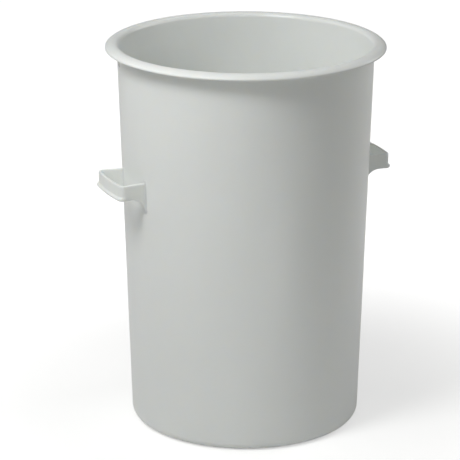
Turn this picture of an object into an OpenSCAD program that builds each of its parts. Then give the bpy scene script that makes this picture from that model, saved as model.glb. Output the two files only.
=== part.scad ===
// Tapered open-top drum with a flared rim and two loop handles.
// Millimetres, +Z up. The origin is the centre of the face the drum stands on,
// and the handles lie on the X axis: right handle on +X, left handle on -X.

/* [Drum] */
// Height from the floor to the top of the rim
drum_h = 700; // [500:5:900]
// Outside radius of the wall, carried down to the floor
foot_r = 208.3; // [150:0.1:260]
// How much the wall leans out per mm of height
taper = 0.03; // [0.01:0.005:0.06]
// Thickness of the wall
wall_t = 4; // [3:0.5:6]

/* [Rim] */
// How far the flared rim stands out from the wall
rim_overhang = 20.7; // [17:0.1:30]
// Radius of the turn from the inside of the wall to the top of the rim
rim_turn_r = 9; // [6:0.5:10]
// How far the rim's top drops from its crest to its outer edge
rim_drop = 5; // [2:0.1:6]
// Thickness of the rim at its outer edge
rim_edge_t = 5; // [5:0.1:8]
// Radius of the fillet between the rim's underside and the wall
rim_fillet_r = 5; // [3:0.5:7]

/* [Base] */
// Radius of the outside edge between wall and base
base_edge_r = 15; // [7:0.5:18]
// Thickness of the base
base_t = 4.5; // [3:0.5:7]
// Width of the ring the drum stands on
foot_ring_w = 9; // [5:1:20]
// How far the middle of the base is raised off the floor
base_rise = 4; // [2:0.5:8]
// Radius of the moulding gate's dimple under the base
gate_r = 16; // [8:1:30]

/* [Handles] */
// Height of the handles' top edges above the floor
grip_top_z = 477; // [380:1:600]
// Height of a handle's wall
grip_h = 28; // [20:1:40]
// How far a handle's outer face stands out from the drum's wall
grip_reach = 44.5; // [36:0.5:60]
// Width over a handle's two side walls where they meet the drum
grip_root_w = 107; // [90:1:130]
// How far each side wall splays outward, in degrees
grip_splay = 6; // [0:0.5:9]
// Radius of the bow in the outer wall
grip_bow_r = 380; // [250:10:900]
// Outside radius of a handle's two corners
grip_corner_r = 10; // [7:0.5:16]
// Thickness of a handle's walls
grip_t = 5.5; // [4:0.5:6]
// Height of the finger bead along the lower edge
bead_h = 7; // [4:0.5:9]
// How far the finger bead stands out
bead_out = 3.5; // [2:0.25:3.5]
// Radius of the hollow gusset under each side wall
gusset_r = 29; // [10:1:32]

/* [Hidden] */
$fn = 180;

hdpe = [0.86, 0.87, 0.85];
hdpe_handle = [0.84, 0.85, 0.83];

lean = atan(taper);
gate_depth = 1.2;
gate_floor_r = gate_r - 4;
floor_shoulder = 6;
rim_edge_top_r = 3;
rim_edge_low_r = 1.5;
root_overlap = 14;
bead_bury = 0.4;
bead_lift = 0.4;

function wall_r(z) = foot_r + taper * z;
rim_r = wall_r(drum_h) + rim_overhang;

// Points along an arc; first = 1 leaves out the start, where it continues another arc.
function arc(c, r, from, to, steps, first = 0) =
    [for (i = [first:steps]) let (a = from + (to - from) * i / steps) c + r * [cos(a), sin(a)]];

// Centre of a circle of radius r that touches the wall's outer line from the inside at height z.
function inside_wall(r, z) = [wall_r(z) - r / cos(lean), z];

// The handle's plan is a line (side wall), an arc (corner) and a flatter arc (outer wall), each
// tangent to the next. side_p is a point on the side wall's outer face, side_d its direction and
// side_n its inward normal.
grip_front = wall_r(grip_top_z) + grip_reach;
bow_c = [grip_front - grip_bow_r, 0];
root_x = sqrt(wall_r(grip_top_z) ^ 2 - (grip_root_w / 2) ^ 2);
side_p = [root_x, grip_root_w / 2];
side_d = [cos(grip_splay), sin(grip_splay)];
side_n = [sin(grip_splay), -cos(grip_splay)];

// The corner's centre is where a line parallel to the side wall meets a circle inside the bow.
corner_from = side_p + grip_corner_r * side_n - bow_c;
corner_half_b = corner_from * side_d;
corner_run = -corner_half_b
    + sqrt(corner_half_b ^ 2 - corner_from * corner_from + (grip_bow_r - grip_corner_r) ^ 2);
corner_c = bow_c + corner_from + corner_run * side_d;
bow_half_angle = atan2(corner_c.y, corner_c.x - bow_c.x);
corner_angle = 90 + grip_splay - bow_half_angle;

// Half of the drum's section, from the middle of the underside round the outside to the inside.
module drum_section() {
    outer_c = inside_wall(base_edge_r, base_edge_r);
    inner_edge_r = base_edge_r - wall_t;
    inner_c = inside_wall(base_edge_r, base_t + inner_edge_r);
    foot_in = outer_c.x - foot_ring_w;
    panel_r = foot_in - floor_shoulder;
    // The rim's top is a shallow arc from the turn's crest to a small round outer edge.
    turn_c = inside_wall(wall_t - rim_turn_r, drum_h - rim_turn_r);
    edge_c = [rim_r - rim_edge_top_r, drum_h - rim_drop - rim_edge_top_r];
    rim_span = edge_c.x - turn_c.x;
    span_r = (rim_span ^ 2 + rim_drop ^ 2) / (2 * rim_drop);
    top_r = span_r + rim_edge_top_r;
    top_c = [turn_c.x, drum_h - top_r];
    top_end = asin(rim_span / span_r);
    // The underside is a straight slope that a fillet joins to the wall.
    low_c = [rim_r - rim_edge_low_r, drum_h - rim_drop - rim_edge_t + rim_edge_low_r];
    low_z = low_c.y - rim_edge_low_r;
    slope = 0.6 * top_end;
    fillet_run = low_c.x - foot_r - rim_fillet_r / cos(lean);
    fillet_z = (low_z + fillet_run * tan(slope) - rim_fillet_r / cos(slope)) / (1 + taper * tan(slope));
    fillet_c = inside_wall(-rim_fillet_r, fillet_z);
    polygon(concat(
        [[0, base_rise + gate_depth], [gate_floor_r, base_rise + gate_depth]],
        [[gate_r, base_rise], [panel_r, base_rise], [foot_in, 0]],
        arc(outer_c, base_edge_r, -90, -lean, 10),
        arc(fillet_c, rim_fillet_r, 180 - lean, 90 - slope, 8),
        arc(low_c, rim_edge_low_r, -90, 0, 5),
        arc(edge_c, rim_edge_top_r, 0, 90 - top_end, 6),
        arc(top_c, top_r, 90 - top_end, 90, 8, 1),
        arc(turn_c, rim_turn_r, 90, 180 - lean, 8, 1),
        arc(inner_c, inner_edge_r, -lean, -90, 8),
        [[foot_in - base_t, base_t], [panel_r - base_t, base_t + base_rise]],
        [[0, base_t + base_rise]]
    ));
}

module drum_body() {
    color(hdpe) {
        rotate_extrude() drum_section();
    }
}

// Outer (inset 0) or inner outline of the handle's plan, from one root round to the other.
function plan_edge(inset) =
    let (half = concat(
        arc(bow_c, grip_bow_r - inset, 0, bow_half_angle, 8),
        arc(corner_c, grip_corner_r - inset, bow_half_angle, 90 + grip_splay, 12, 1),
        [side_p + inset * side_n - root_overlap * side_d]
    ))
    concat(
        [for (i = [len(half) - 1:-1:1]) [half[i].x, -half[i].y]],
        half
    );

// The loop's wall. Near the drum it reaches down by gusset_r, and a quarter round is cut out of that.
module loop_wall() {
    inner = plan_edge(grip_t);
    gusset_c = [root_x + gusset_r, -gusset_r];
    far_x = grip_front + grip_t;
    difference() {
        translate([0, 0, -gusset_r])
            linear_extrude(height = grip_h + gusset_r)
                polygon(concat(plan_edge(0), [for (i = [len(inner) - 1:-1:0]) inner[i]]));
        translate([0, grip_root_w, 0])
            rotate([90, 0, 0])
                linear_extrude(height = 2 * grip_root_w)
                    polygon(concat(
                        [[far_x, 0]],
                        arc(gusset_c, gusset_r, 90, 180, 12),
                        [[root_x, -2 * gusset_r], [far_x, -2 * gusset_r]]
                    ));
    }
}

// Stations of the finger bead, each [point on the wall's outer face, direction of the outward
// normal, how far the bead stands out]. It follows the outer wall and sinks away round the corners.
function bead_half() = concat(
    [for (i = [0:8])
        let (a = bow_half_angle * i / 8)
        [bow_c + grip_bow_r * [cos(a), sin(a)], a, bead_out]],
    [for (i = [1:12])
        let (a = bow_half_angle + corner_angle * i / 12)
        [corner_c + grip_corner_r * [cos(a), sin(a)], a, bead_stand(i / 12)]]
);
function bead_stand(faded) = (bead_out + bead_bury / 2) * cos(90 * faded) - bead_bury / 2;

// The bead's section is a half ellipse on a back that is buried in the wall.
function bead_section(out) = concat(
    [[-bead_bury, 0]],
    [for (a = [-90:22.5:90])
        [(out + bead_bury / 2) * cos(a) - bead_bury / 2, bead_h / 2 * (1 + sin(a))]],
    [[-bead_bury, bead_h]]
);

module bead() {
    half = bead_half();
    stations = concat(
        [for (i = [len(half) - 1:-1:1]) [[half[i][0].x, -half[i][0].y], -half[i][1], half[i][2]]],
        half
    );
    count = len(bead_section(0));
    last = count * (len(stations) - 1);
    points = [for (s = stations) for (q = bead_section(s[2]))
        [s[0].x + q.x * cos(s[1]), s[0].y + q.x * sin(s[1]), bead_lift + q.y]];
    strips = [for (i = [0:len(stations) - 2]) for (j = [0:count - 1])
        let (a = i * count + j, b = i * count + (j + 1) % count)
        each [[a, b, b + count], [a, b + count, a + count]]];
    polyhedron(points, concat(
        strips,
        [[for (j = [count - 1:-1:0]) j]],
        [[for (j = [0:count - 1]) last + j]]
    ));
}

// A loop handle on +X, cut back to the drum's outer face.
module handle() {
    difference() {
        translate([0, 0, grip_top_z - grip_h]) {
            loop_wall();
            bead();
        }
        cylinder(h = drum_h, r1 = wall_r(0), r2 = wall_r(drum_h));
    }
}

module right_handle() {
    color(hdpe_handle) {
        handle();
    }
}

module left_handle() {
    color(hdpe_handle) {
        rotate([0, 0, 180]) handle();
    }
}

drum_body();
left_handle();
right_handle();
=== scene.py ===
"""Looks of a tapered open-top drum in natural polyethylene, with a flared rim and two loop handles.

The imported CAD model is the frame. Each CAD node is replaced by a finer mesh of the same shape, with
the round edges, fillets and mould marks of a real moulding. Sizes are in millimetres up to the point
where a mesh is made.
"""

import math

import bpy
from mathutils import Matrix, Vector


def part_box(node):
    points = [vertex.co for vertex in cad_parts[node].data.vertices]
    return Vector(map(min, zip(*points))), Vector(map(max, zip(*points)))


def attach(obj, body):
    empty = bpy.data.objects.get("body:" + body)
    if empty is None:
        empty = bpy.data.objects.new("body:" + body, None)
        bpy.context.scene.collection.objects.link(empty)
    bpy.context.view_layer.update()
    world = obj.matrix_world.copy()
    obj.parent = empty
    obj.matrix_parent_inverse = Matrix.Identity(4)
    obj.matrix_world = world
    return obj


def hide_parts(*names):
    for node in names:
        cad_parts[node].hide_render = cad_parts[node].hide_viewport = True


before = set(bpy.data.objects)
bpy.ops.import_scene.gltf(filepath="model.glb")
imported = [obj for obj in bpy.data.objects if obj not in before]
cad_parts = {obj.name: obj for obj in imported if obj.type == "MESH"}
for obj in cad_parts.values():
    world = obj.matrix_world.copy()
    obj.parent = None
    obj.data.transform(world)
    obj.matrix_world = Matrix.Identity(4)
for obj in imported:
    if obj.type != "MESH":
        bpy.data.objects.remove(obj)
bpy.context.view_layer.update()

MM = 0.001

# Drum, in millimetres. Its height and the radius of its rim come from the frame.
DRUM_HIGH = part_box("drum_body")[1] / MM
DRUM_H = DRUM_HIGH.z
RIM_R = DRUM_HIGH.x
FOOT_R = 208.3
TAPER = 0.03
LEAN = math.atan(TAPER)
WALL_T = 4.0
BASE_T = 4.5
BASE_RISE = 4.0
BASE_EDGE_R = 15.0
FOOT_RING_W = 9.0
PANEL_SLOPE_W = 6.0
RIM_TURN_R = 9.0
RIM_DROP = 5.0
RIM_EDGE_T = 5.0
RIM_FILLET_R = 5.0
RIM_EDGE_TOP_R = 3.0
RIM_EDGE_LOW_R = 1.5
# Slope of the rim's underside, as a share of the slope at the outer end of its top.
UNDER_RIM_SLOPE = 0.6
# Under the base: the dimple of the moulding gate, the stub of the sprue in it, and low rings.
GATE_R = 16.0
GATE_DEPTH = 1.2
GATE_SLOPE_W = 4.0
SPRUE_R = 4.0
SPRUE_H = 1.6
SPRUE_EDGE_R = 0.5
SPRUE_DRAFT = 0.4
RING_RADII = (60.0, 110.0, 160.0)
RING_W = 1.5
RING_H = 0.8
RING_STEPS = 8
# Faces round the drum, and up its wall.
DRUM_SEGMENTS = 288
WALL_STEPS = 48

# Handles, in millimetres. Their top and how far they reach out come from the frame.
GRIP_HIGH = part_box("right_handle")[1] / MM
GRIP_H = 28.0
GRIP_T = 5.5
GRIP_SPLAY = math.radians(6)
GRIP_BOW_R = 380.0
GRIP_CORNER_R = 10.0
GRIP_ROOT_W = 107.0
GRIP_EDGE_R = 2.6
GUSSET_R = 29.0
ROOT_FILLET_R = 2.5
ROOT_SINK = 0.5
# Rings of points along half a handle: round the outer wall, round the corner and along the side wall,
# and the distances from the root of the extra ones in the fillet.
BOW_STEPS = 16
CORNER_STEPS = 16
SIDE_STEPS = 30
ROOT_RINGS = (2.4, 1.6, 1.0, 0.6, 0.3, 0.12, 0.0, -ROOT_SINK)

# Finger bead: how far it stands out, the heights above its foot at which it starts to shrink and has
# gone, and how much rounder it makes the wall's lower edge.
BEAD_OUT = 3.5
BEAD_FULL_Z = 3.64
BEAD_TOP_Z = 8.5
BEAD_EXTRA_R = 0.7

# Camera, about the drum's axis: where the photograph was taken from, in metres, and the lens in
# millimetres.
CAMERA_AZIMUTH = math.radians(-24)
CAMERA_DISTANCE = 4.077
CAMERA_HEIGHT = 1.677
CAMERA_PITCH = math.radians(-18.07)
CAMERA_YAW = math.radians(0.39)
CAMERA_ROLL = math.radians(0.045)
CAMERA_LENS = 184.3

# Polyethylene: its colour, how much light goes into it, how deep in metres and in which colours, and
# the range of its roughness.
TINT = (0.868, 0.893, 0.866)
IOR = 1.5
MILKINESS = 0.6
GLOW_DEPTH = 0.006
GLOW_COLORS = (1.0, 0.92, 0.8)
ROUGH_LOW = 0.27
ROUGH_HIGH = 0.34
MARKS_ROUGHER = 0.18

# Pale foot ring, partly rubbing and partly a painted highlight of the base edge catching light, in
# metres:
# the radii between which it sets in, and the heights between which it ends.
RUB_GLINT_FROM_R = (0.182, 0.186)
RUB_GLINT_TO_Z = (0.004, 0.012)

# Floor, in metres. It lies just below the drum's foot, so that the two faces don't coincide.
FLOOR_SIZE = 40
FLOOR_GAP = 0.0002
FLOOR_COLOR = (0.70, 0.70, 0.69, 1)
FLOOR_ROUGHNESS = 0.7
# What the camera sees added to the floor's own light, as on a white studio sweep: (distance from the
# drum's axis, lift), near and far. Reflections see a share of it.
FLOOR_LIFT = ((0.30, 0.50), (1.10, 0.90))
FLOOR_MIRRORED = 0.45

# Strength of the even light from all round, and of the backdrop that the camera sees.
AMBIENT = 0.15
BACKDROP = 1.0

# Soft panels, seen from the middle of the drum: name, degrees right of the camera, degrees up, distance
# and size in metres, watts.
PANELS = (
    ("key", -40, 52, 2.0, 0.6, 14),
    ("low_key", -45, 38, 3.0, 1.6, 9),
    ("overhead", -30, 66, 3.0, 1.6, 8.5),
    ("left_high", -60, 52, 3.0, 1.6, 3),
    ("left_edge", -110, 38, 3.0, 1.6, 8),
    ("front_low", 0, 8, 3.0, 1.6, 2.4),
    ("floor_card", 25, -14, 0.8, 0.3, 0.19),
    ("right_edge", 100, 30, 1.6, 0.6, 1.5),
    ("back_edge", 120, 30, 1.6, 0.6, 3.4),
)


def wall_r(z):
    """Outside radius of the drum's wall at height z."""
    return FOOT_R + TAPER * z


def arc(centre, radius, start, end, steps, first=0):
    """Points on a circle between two angles in degrees; first=1 leaves out the start."""
    angles = [math.radians(start + (end - start) * i / steps) for i in range(first, steps + 1)]
    return [(centre[0] + radius * math.cos(a), centre[1] + radius * math.sin(a)) for a in angles]


def line(start, end, steps):
    """Points after start, up to and including end, evenly spaced."""
    return [
        tuple(a + (b - a) * i / steps for a, b in zip(start, end))
        for i in range(1, steps + 1)
    ]


def add_mesh(name, points, faces):
    """Makes a smooth-shaded mesh object from points in millimetres."""
    mesh = bpy.data.meshes.new(name)
    mesh.from_pydata([[c * MM for c in p] for p in points], [], faces)
    mesh.validate()
    for polygon in mesh.polygons:
        polygon.use_smooth = True
    obj = bpy.data.objects.new(name, mesh)
    bpy.context.scene.collection.objects.link(obj)
    normals = obj.modifiers.new("even_normals", "WEIGHTED_NORMAL")
    normals.keep_sharp = True
    return obj


def lathe(name, outline, segments):
    """Turns an outline of (radius, height) about Z. It starts and ends on the axis."""
    points, rings = [], []
    for radius, height in outline:
        count = 1 if radius < 1e-6 else segments
        rings.append(range(len(points), len(points) + count))
        for i in range(count):
            a = 2 * math.pi * i / segments
            points.append((radius * math.cos(a), radius * math.sin(a), height))
    faces = []
    for lower, upper in zip(rings, rings[1:]):
        for i in range(segments):
            j = (i + 1) % segments
            corners = [lower[i % len(lower)], lower[j % len(lower)]]
            corners += [upper[j % len(upper)], upper[i % len(upper)]]
            faces.append(list(dict.fromkeys(corners)))
    return add_mesh(name, points, faces)


def inside_wall(radius, z):
    """Centre of a circle that touches the wall's outer line from the inside at height z."""
    return (wall_r(z) - radius / math.cos(LEAN), z)


def gate_outline():
    """Underside of the moulding gate: a shallow dimple with a cut-off sprue in its middle."""
    deck = BASE_RISE + GATE_DEPTH
    tip = deck - SPRUE_H
    edge_c = (SPRUE_R - SPRUE_EDGE_R, tip + SPRUE_EDGE_R)
    points = [(0, tip)]
    points += line(points[-1], (edge_c[0], tip), 3)
    points += arc(edge_c, SPRUE_EDGE_R, -90, 0, 4, 1)
    points += line(points[-1], (SPRUE_R + SPRUE_DRAFT, deck), 3)
    points += line(points[-1], (GATE_R - GATE_SLOPE_W, deck), 3)
    points += line(points[-1], (GATE_R, BASE_RISE), 4)
    return points


def rib_outline(radius, level, height):
    """A low round ring of that radius on a level face; a negative height points down."""
    points = [(radius - RING_W, level)]
    for i in range(1, RING_STEPS + 1):
        swing = math.pi * i / RING_STEPS
        points.append((radius - RING_W * math.cos(swing), level + height * math.sin(swing)))
    return points


def drum_outline():
    """Half section of the drum, from the middle of the underside round to the middle of the floor."""
    lean = math.degrees(LEAN)
    outer_c = inside_wall(BASE_EDGE_R, BASE_EDGE_R)
    inner_edge_r = BASE_EDGE_R - WALL_T
    inner_c = inside_wall(BASE_EDGE_R, BASE_T + inner_edge_r)
    foot_in = outer_c[0] - FOOT_RING_W
    panel_r = foot_in - PANEL_SLOPE_W
    turn_c = inside_wall(WALL_T - RIM_TURN_R, DRUM_H - RIM_TURN_R)
    edge_c = (RIM_R - RIM_EDGE_TOP_R, DRUM_H - RIM_DROP - RIM_EDGE_TOP_R)
    span = edge_c[0] - turn_c[0]
    span_r = (span**2 + RIM_DROP**2) / (2 * RIM_DROP)
    top_r = span_r + RIM_EDGE_TOP_R
    top_c = (turn_c[0], DRUM_H - top_r)
    top_end = math.degrees(math.asin(span / span_r))
    low_c = (RIM_R - RIM_EDGE_LOW_R, DRUM_H - RIM_DROP - RIM_EDGE_T + RIM_EDGE_LOW_R)
    low_z = low_c[1] - RIM_EDGE_LOW_R
    slope = math.radians(UNDER_RIM_SLOPE * top_end)
    run = low_c[0] - FOOT_R - RIM_FILLET_R / math.cos(LEAN)
    fillet_z = low_z + run * math.tan(slope) - RIM_FILLET_R / math.cos(slope)
    fillet_z /= 1 + TAPER * math.tan(slope)
    fillet_c = inside_wall(-RIM_FILLET_R, fillet_z)
    foot = arc(outer_c, BASE_EDGE_R, -90, -lean, 14)
    fillet = arc(fillet_c, RIM_FILLET_R, 180 - lean, 90 - math.degrees(slope), 10)
    low_edge = arc(low_c, RIM_EDGE_LOW_R, -90, 0, 8)
    top_edge = arc(edge_c, RIM_EDGE_TOP_R, 0, 90 - top_end, 8)
    turn = arc(turn_c, RIM_TURN_R, 90, 180 - lean, 14, 1)
    inner_foot = arc(inner_c, inner_edge_r, -lean, -90, 10)
    outline = gate_outline()
    for ring_r in RING_RADII:
        outline += rib_outline(ring_r, BASE_RISE, -RING_H)
    outline += line(outline[-1], (panel_r, BASE_RISE), 6)
    outline += line(outline[-1], (foot_in, 0), 4)
    outline += line(outline[-1], foot[0], 2)
    outline += foot[1:]
    outline += line(outline[-1], fillet[0], WALL_STEPS)
    outline += fillet[1:]
    outline += line(outline[-1], low_edge[0], 4)
    outline += low_edge[1:]
    outline += line(outline[-1], top_edge[0], 2)
    outline += top_edge[1:]
    outline += arc(top_c, top_r, 90 - top_end, 90, 12, 1)
    outline += turn
    outline += line(outline[-1], inner_foot[0], WALL_STEPS)
    outline += inner_foot[1:]
    outline += line(outline[-1], (foot_in - BASE_T, BASE_T), 3)
    outline += line(outline[-1], (panel_r - BASE_T, BASE_T + BASE_RISE), 4)
    outline += line(outline[-1], (0, BASE_T + BASE_RISE), 24)
    return outline


class GripPlan:
    """The handle's plan: bowed outer wall, round corner and splayed side wall, on the +Y side.

    bow_c and corner_c are the centres of the two arcs. side_p is where the side wall's outer face meets
    the drum, side_d its direction, outward its normal, and run its length up to the corner.
    """

    def __init__(self):
        self.bow_c = Vector((GRIP_HIGH.x - BEAD_OUT - GRIP_BOW_R, 0))
        top_r = wall_r(GRIP_HIGH.z)
        half_w = GRIP_ROOT_W / 2
        self.side_p = Vector((math.sqrt(top_r**2 - half_w**2), half_w))
        self.side_d = Vector((math.cos(GRIP_SPLAY), math.sin(GRIP_SPLAY)))
        self.outward = Vector((-math.sin(GRIP_SPLAY), math.cos(GRIP_SPLAY)))
        start = self.side_p - GRIP_CORNER_R * self.outward - self.bow_c
        half_b = start.dot(self.side_d)
        centre_gap = GRIP_BOW_R - GRIP_CORNER_R
        self.run = -half_b + math.sqrt(half_b**2 - start.dot(start) + centre_gap**2)
        self.corner_c = self.bow_c + start + self.run * self.side_d
        offset = self.corner_c - self.bow_c
        self.bow_half = math.atan2(offset.y, offset.x)

    def root_run(self, out, z):
        """Distance along the side wall at which a line at that stand-out and height meets the drum."""
        p = self.side_p + out * self.outward
        b = p.dot(self.side_d)
        return -b + math.sqrt(b * b - p.dot(p) + wall_r(z) ** 2)

    def side_point(self, out, z, run):
        """A point at that stand-out and height, that far along the side wall."""
        p = self.side_p + out * self.outward + run * self.side_d
        return (p.x, p.y, z)

    def turned_point(self, centre, radius, angle, out, z):
        """A point at that stand-out and height on the bow or on the corner."""
        r = radius + out
        return (centre.x + r * math.cos(angle), centre.y + r * math.sin(angle), z)


def smooth(t):
    """Eases from 0 to 1."""
    t = min(max(t, 0.0), 1.0)
    return t * t * (3 - 2 * t)


def round_fillet(distance, radius):
    """How far a concave round of that radius still stands out at a distance from its root."""
    rest = radius - min(max(distance, 0.0), radius)
    return radius - math.sqrt(max(radius**2 - rest**2, 0.0))


def grip_section(low, top, flare, bead):
    """Closed outline (stand-out, height) of the handle's wall.

    flare thickens it on both sides, and bead runs from 0 for no finger bead to 1 for the full one.
    """
    e = GRIP_EDGE_R
    outer, inner = flare, -GRIP_T - flare
    lip = bead * BEAD_OUT
    lip_r = e + bead * BEAD_EXTRA_R
    points = arc((inner + e, low + e), e, 180, 270, 5)
    points += line(points[-1], (outer + lip - lip_r, low), 3)
    points += arc((outer + lip - lip_r, low + lip_r), lip_r, -90, 0, 7, 1)
    for _, z in line((0, low + lip_r), (0, low + BEAD_TOP_Z), 12):
        fall = 1 - smooth((z - low - BEAD_FULL_Z) / (BEAD_TOP_Z - BEAD_FULL_Z))
        points.append((outer + lip * fall, z))
    points += line(points[-1], (outer, top - e), 6)
    points += arc((outer - e, top - e), e, 0, 90, 6, 1)
    points += line(points[-1], (inner + e, top), 2)
    points += arc((inner + e, top - e), e, 90, 180, 6, 1)
    points += line(points[-1], (inner, low + e), 10)
    return points[:-1]


def grip_half_stations(plan, low, top):
    """Rings of points from the middle of the outer wall round to one root, inside the drum's wall."""
    rings = []
    section = grip_section(low, top, 0.0, 1.0)
    for i in range(BOW_STEPS + 1):
        a = plan.bow_half * i / BOW_STEPS
        rings.append([plan.turned_point(plan.bow_c, GRIP_BOW_R, a, n, z) for n, z in section])
    turn = math.pi / 2 + GRIP_SPLAY - plan.bow_half
    for i in range(1, CORNER_STEPS + 1):
        a = plan.bow_half + turn * i / CORNER_STEPS
        section = grip_section(low, top, 0.0, math.cos(math.pi / 2 * i / CORNER_STEPS))
        rings.append([plan.turned_point(plan.corner_c, GRIP_CORNER_R, a, n, z) for n, z in section])
    side = plan.run - plan.root_run(0.0, top)
    stations = [side * i / SIDE_STEPS for i in range(3, SIDE_STEPS)]
    stations += ROOT_RINGS
    for distance in sorted({round(d, 4) for d in stations if d < side}, reverse=True):
        flare = round_fillet(distance, ROOT_FILLET_R)
        drop = round_fillet(distance, GUSSET_R)
        ring = []
        for n, z in grip_section(low - drop, top + flare, flare, 0.0):
            ring.append(plan.side_point(n, z, plan.root_run(n, z) + distance))
        rings.append(ring)
    return rings


def loop_handle(name, side):
    """Sweeps the handle's section from root to root; side is 1 for +X and -1 for -X."""
    plan = GripPlan()
    low = GRIP_HIGH.z - GRIP_H
    half = grip_half_stations(plan, low, GRIP_HIGH.z)
    mirrored = [[(x, -y, z) for x, y, z in ring] for ring in half[:0:-1]]
    rings = mirrored + half
    count = len(rings[0])
    points = [(side * x, side * y, z) for ring in rings for x, y, z in ring]
    faces = []
    for i in range(len(rings) - 1):
        for j in range(count):
            k = (j + 1) % count
            a, b = i * count, (i + 1) * count
            faces.append([a + j, b + j, b + k, a + k])
    last = (len(rings) - 1) * count
    faces.append(list(range(count)))
    faces.append([last + j for j in range(count - 1, -1, -1)])
    return add_mesh(name, points, faces)


class Nodes:
    """Short calls for building a material's node tree."""

    def __init__(self, name):
        self.material = bpy.data.materials.new(name)
        self.material.use_nodes = True
        self.tree = self.material.node_tree
        self.shader = self.tree.nodes["Principled BSDF"]

    def add(self, kind, **values):
        """A new node; each value goes to the input of that name, or else to the node's own setting."""
        node = self.tree.nodes.new(kind)
        for key, value in values.items():
            if key in node.inputs:
                node.inputs[key].default_value = value
            else:
                setattr(node, key, value)
        return node

    def link(self, output, target):
        """Joins a node's output to another node's input."""
        self.tree.links.new(output, target)

    def ramp(self, source, stops):
        """Remaps a value through (position, grey) stops."""
        node = self.add("ShaderNodeValToRGB")
        elements = node.color_ramp.elements
        while len(elements) < len(stops):
            elements.new(0.5)
        for element, (position, grey) in zip(elements, stops):
            element.position = position
            element.color = (grey, grey, grey, 1)
        self.link(source, node.inputs["Fac"])
        return node.outputs["Color"]

    def noise(self, place, scale=1.0, detail=2.0):
        """Noise from 0 to 1; the larger the scale, the finer it is."""
        node = self.add("ShaderNodeTexNoise", Scale=scale, Detail=detail)
        self.link(place, node.inputs["Vector"])
        return node.outputs["Fac"]

    def stretch(self, place, scale):
        """Scales a place along X, Y and Z, so that a noise read there comes out squeezed."""
        node = self.add("ShaderNodeMapping", Scale=scale)
        self.link(place, node.inputs["Vector"])
        return node.outputs["Vector"]

    def distance(self, place):
        """Distance of a place from the object's origin."""
        node = self.add("ShaderNodeVectorMath", operation="LENGTH")
        self.link(place, node.inputs[0])
        return node.outputs["Value"]

    def maths(self, operation, *values):
        """An operation on numbers and other nodes' outputs."""
        node = self.add("ShaderNodeMath", operation=operation)
        for socket, value in zip(node.inputs, values):
            if isinstance(value, (int, float)):
                socket.default_value = value
            else:
                self.link(value, socket)
        return node.outputs[0]

    def blend(self, share, first, second):
        """Mixes two colours, each an (r, g, b) or another node's output."""
        node = self.add("ShaderNodeMix", data_type="RGBA")
        self.link(share, node.inputs["Factor"])
        for socket, value in ((node.inputs[6], first), (node.inputs[7], second)):
            if isinstance(value, (list, tuple)):
                socket.default_value = (*value, 1)
            else:
                self.link(value, socket)
        return node.outputs[2]

    def bump(self, height, strength, distance, below=None, invert=False):
        """Relief whose full height is distance, in metres, laid over the relief below."""
        node = self.add("ShaderNodeBump", Strength=strength, Distance=distance, invert=invert)
        self.link(height, node.inputs["Height"])
        if below:
            self.link(below, node.inputs["Normal"])
        return node.outputs["Normal"]


def shade(factor):
    """The plastic's colour made darker or lighter."""
    return [min(1.0, c * factor) for c in TINT]


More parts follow.
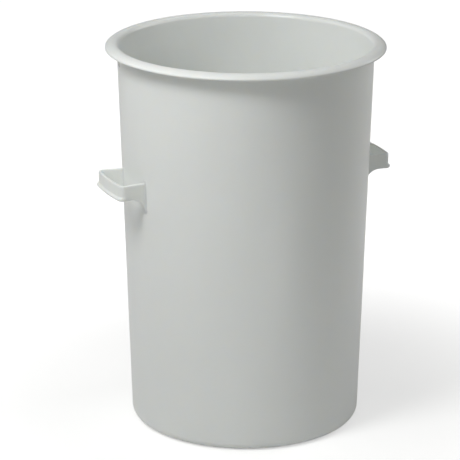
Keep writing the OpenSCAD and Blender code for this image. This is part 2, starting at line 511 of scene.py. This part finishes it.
def polyethylene(name, seed):
    """Natural polyethylene: milky, translucent and satin, with flow marks, scuffs, worn edges, and a
    foot ring painted paler, partly as rubbing and partly as a painted highlight.
    """
    n = Nodes(name)
    place = n.add("ShaderNodeTexCoord").outputs["Object"]
    shifted = n.add("ShaderNodeMapping")
    shifted.inputs["Location"].default_value = (seed, seed, seed)
    n.link(place, shifted.inputs["Vector"])
    place = shifted.outputs["Vector"]

    # Colour: slow clouding of the resin, and vertical flow streaks.
    cloud = n.noise(place, scale=4.0, detail=3.0)
    flow = n.noise(n.stretch(place, (26.0, 26.0, 1.6)), detail=2.0)
    body = n.blend(cloud, shade(0.965), TINT)
    body = n.blend(n.ramp(flow, [(0.35, 0.0), (0.65, 0.5)]), body, shade(0.975))

    # Wear: edges are rubbed brighter and rougher, in patches.
    edge = n.ramp(n.add("ShaderNodeNewGeometry").outputs["Pointiness"], [(0.52, 0.0), (0.60, 1.0)])
    patch = n.ramp(n.noise(place, scale=38.0, detail=4.0), [(0.45, 0.0), (0.62, 1.0)])
    worn = n.maths("MULTIPLY", edge, patch)
    body = n.blend(n.maths("MULTIPLY", worn, 0.5), body, shade(1.08))

    # The foot ring is painted paler in patches: partly rubbing where the drum is dragged about, partly
    # a painted highlight where the base edge catches light.
    height = n.add("ShaderNodeSeparateXYZ")
    n.link(place, height.inputs["Vector"])
    ring = n.ramp(n.distance(place), [(RUB_GLINT_FROM_R[0], 0.0), (RUB_GLINT_FROM_R[1], 1.0)])
    low = n.ramp(height.outputs["Z"], [(RUB_GLINT_TO_Z[0], 1.0), (RUB_GLINT_TO_Z[1], 0.0)])
    rub_and_glint = n.maths("MULTIPLY", n.maths("MULTIPLY", ring, low), patch)
    # Painted paler foot ring: part wear, part painted highlight of the base edge.
    body = n.blend(n.maths("MULTIPLY", rub_and_glint, 0.8), body, shade(1.12))

    # Scuffs: short fine scratches with a little grime, running round the drum in sparse patches.
    scratch = n.noise(n.stretch(place, (30.0, 30.0, 900.0)), detail=3.0)
    scratch = n.ramp(scratch, [(0.60, 0.0), (0.70, 1.0)])
    sparse = n.ramp(n.noise(place, scale=7.0, detail=3.0), [(0.42, 0.0), (0.85, 1.0)])
    scuff = n.maths("MULTIPLY", scratch, sparse)
    body = n.blend(n.maths("MULTIPLY", scuff, 0.1), body, shade(0.88))
    n.link(body, n.shader.inputs["Base Color"])

    # Sheen: satin, a little glossier where the mould was smooth, duller in scuffs and on worn edges.
    rough = n.ramp(cloud, [(0.3, ROUGH_LOW), (0.7, ROUGH_HIGH)])
    marks = n.maths("ADD", scuff, n.maths("ADD", worn, rub_and_glint))
    rough = n.maths("ADD", rough, n.maths("MULTIPLY", marks, MARKS_ROUGHER))
    n.link(rough, n.shader.inputs["Roughness"])

    # Relief: moulded skin grain, a slow ripple of the wall, and the scratches.
    skin = n.noise(place, scale=700.0, detail=2.0)
    grain = n.bump(skin, strength=0.25, distance=0.00006)
    swell = n.noise(n.stretch(place, (14.0, 14.0, 5.0)), detail=1.0)
    ripple = n.bump(swell, strength=0.35, distance=0.0006, below=grain)
    relief = n.bump(scuff, strength=0.15, distance=0.00005, below=ripple, invert=True)
    n.link(relief, n.shader.inputs["Normal"])

    n.shader.inputs["IOR"].default_value = IOR
    n.shader.inputs["Subsurface Weight"].default_value = MILKINESS
    n.shader.inputs["Subsurface Radius"].default_value = GLOW_COLORS
    n.shader.inputs["Subsurface Scale"].default_value = GLOW_DEPTH
    return n.material


def dress(obj, material, node):
    """Gives a piece its material, ties it to the frame and lets it stand for a CAD node."""
    obj.data.materials.append(material)
    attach(obj, "root")
    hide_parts(node)


def add_floor():
    """A pale floor that runs out to white, like a studio sweep."""
    bpy.ops.mesh.primitive_plane_add(size=FLOOR_SIZE, location=(0, 0, -FLOOR_GAP))
    floor = bpy.context.object
    floor.name = "floor"
    n = Nodes("floor")
    n.shader.inputs["Base Color"].default_value = FLOOR_COLOR
    n.shader.inputs["Roughness"].default_value = FLOOR_ROUGHNESS
    (near, near_lift), (far, far_lift) = FLOOR_LIFT
    lift = n.add("ShaderNodeMapRange", interpolation_type="SMOOTHSTEP")
    limits = {"From Min": near, "From Max": far, "To Min": near_lift, "To Max": far_lift}
    for key, value in limits.items():
        lift.inputs[key].default_value = value
    place = n.add("ShaderNodeTexCoord").outputs["Object"]
    n.link(n.distance(place), lift.inputs["Value"])
    path = n.add("ShaderNodeLightPath")
    mirrored = n.maths("MULTIPLY", path.outputs["Is Glossy Ray"], FLOOR_MIRRORED)
    sight = n.maths("MAXIMUM", path.outputs["Is Camera Ray"], mirrored)
    seen = n.maths("MULTIPLY", lift.outputs[0], sight)
    glow = n.add("ShaderNodeEmission")
    n.link(seen, glow.inputs["Strength"])
    both = n.add("ShaderNodeAddShader")
    n.link(n.shader.outputs[0], both.inputs[0])
    n.link(glow.outputs[0], both.inputs[1])
    n.link(both.outputs[0], n.tree.nodes["Material Output"].inputs["Surface"])
    floor.data.materials.append(n.material)


def add_area_light(name, azimuth, elevation, distance, size, power):
    """A round soft panel that looks at the middle of the drum."""
    data = bpy.data.lights.new(name, "AREA")
    data.shape = "DISK"
    data.size = size
    data.energy = power
    lamp = bpy.data.objects.new(name, data)
    a = CAMERA_AZIMUTH + math.radians(azimuth)
    e = math.radians(elevation)
    back = Vector((math.sin(a) * math.cos(e), -math.cos(a) * math.cos(e), math.sin(e)))
    target = Vector((0, 0, DRUM_H * MM * 0.5))
    lamp.location = target + distance * back
    lamp.rotation_mode = "QUATERNION"
    lamp.rotation_quaternion = back.to_track_quat("Z", "Y")
    bpy.context.scene.collection.objects.link(lamp)


def add_world():
    """Even light from all round; the camera sees a brighter backdrop than the one that lights."""
    world = bpy.data.worlds.new("studio")
    world.use_nodes = True
    tree = world.node_tree
    lit = tree.nodes["Background"]
    lit.inputs["Strength"].default_value = AMBIENT
    backdrop = tree.nodes.new("ShaderNodeBackground")
    backdrop.inputs["Strength"].default_value = BACKDROP
    for node in (lit, backdrop):
        node.inputs["Color"].default_value = (1, 1, 1, 1)
    path = tree.nodes.new("ShaderNodeLightPath")
    mix = tree.nodes.new("ShaderNodeMixShader")
    tree.links.new(path.outputs["Is Camera Ray"], mix.inputs["Fac"])
    tree.links.new(lit.outputs[0], mix.inputs[1])
    tree.links.new(backdrop.outputs[0], mix.inputs[2])
    tree.links.new(mix.outputs[0], tree.nodes["World Output"].inputs["Surface"])
    bpy.context.scene.world = world


def add_camera():
    """A long lens that looks slightly down at the drum."""
    data = bpy.data.cameras.new("camera")
    data.lens = CAMERA_LENS
    data.sensor_width = 36
    data.clip_start, data.clip_end = 0.1, 100
    camera = bpy.data.objects.new("camera", data)
    bpy.context.scene.collection.objects.link(camera)
    turn = Matrix.Rotation(CAMERA_AZIMUTH, 4, "Z")
    place = Matrix.Translation((0, -CAMERA_DISTANCE, CAMERA_HEIGHT))
    look = Matrix.Rotation(CAMERA_YAW, 4, "Z") @ Matrix.Rotation(math.pi / 2 + CAMERA_PITCH, 4, "X")
    camera.matrix_world = turn @ place @ look @ Matrix.Rotation(CAMERA_ROLL, 4, "Z")
    bpy.context.scene.camera = camera


def main():
    shell = lathe("drum_shell", drum_outline(), DRUM_SEGMENTS)
    dress(shell, polyethylene("natural_polyethylene", 0.0), "drum_body")
    grip_material = polyethylene("handle_polyethylene", 3.7)
    dress(loop_handle("left_loop", -1), grip_material, "left_handle")
    dress(loop_handle("right_loop", 1), grip_material, "right_handle")
    add_floor()
    add_world()
    for panel in PANELS:
        add_area_light(*panel)
    add_camera()
    bpy.context.scene.view_settings.view_transform = "Standard"


main()
